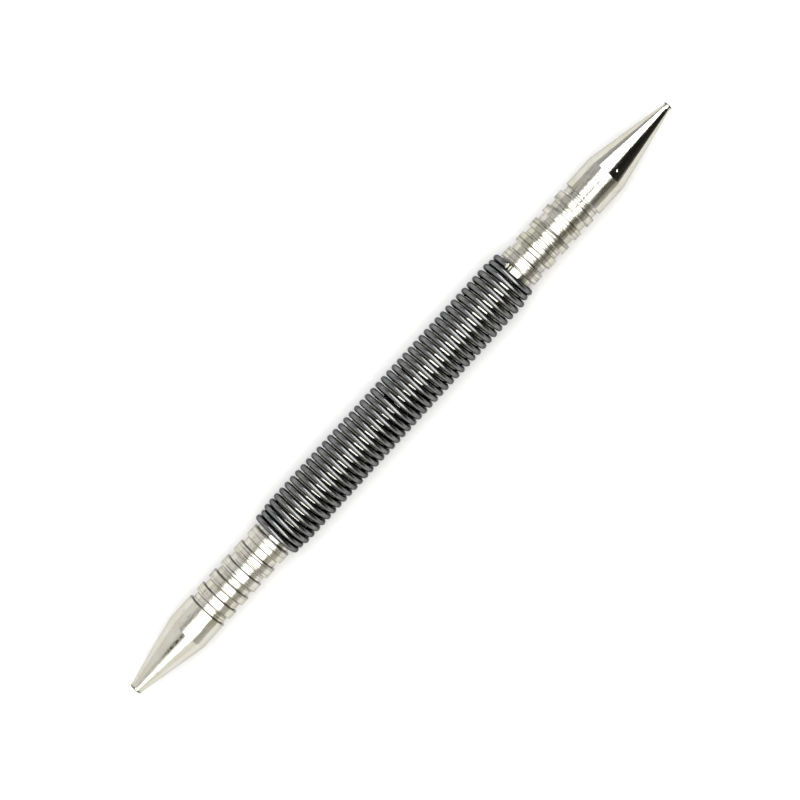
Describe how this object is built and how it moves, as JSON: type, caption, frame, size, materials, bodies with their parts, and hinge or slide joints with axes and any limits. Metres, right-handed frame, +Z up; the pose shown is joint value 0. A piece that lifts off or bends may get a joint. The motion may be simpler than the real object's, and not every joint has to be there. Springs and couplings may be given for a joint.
{
  "type": "center punch",
  "caption": "Spring-driven double-ended punch: two turned steel punches butt nose to nose inside one extension spring, with grip grooves and blunt flat tips.",
  "frame": {"origin": "under the middle of the tool's length, on the surface that it lies on", "axes": "+X along the tool's axis towards the small tip, +Z up"},
  "size_m": [0.1396, 0.01, 0.0101],
  "materials": {
    "plated_steel": "bright nickel plate over turned steel, with fine turning marks and small nicks",
    "spring_wire": "oil-tempered spring wire, dark grey with a satin sheen"
  },
  "bodies": {
    "large_end": {"large_punch": "plated_steel", "coil_spring": "spring_wire"},
    "small_end": {"small_punch": "plated_steel"}
  },
  "joints": [
    {"name": "punch_draw", "type": "slide", "parent": "large_end", "child": "small_end", "axis": [1, 0, 0], "range_m": [0, 0.025], "stiffness_N_per_m": 710, "springref_m": -0.011, "deforming": ["coil_spring"]}
  ]
}
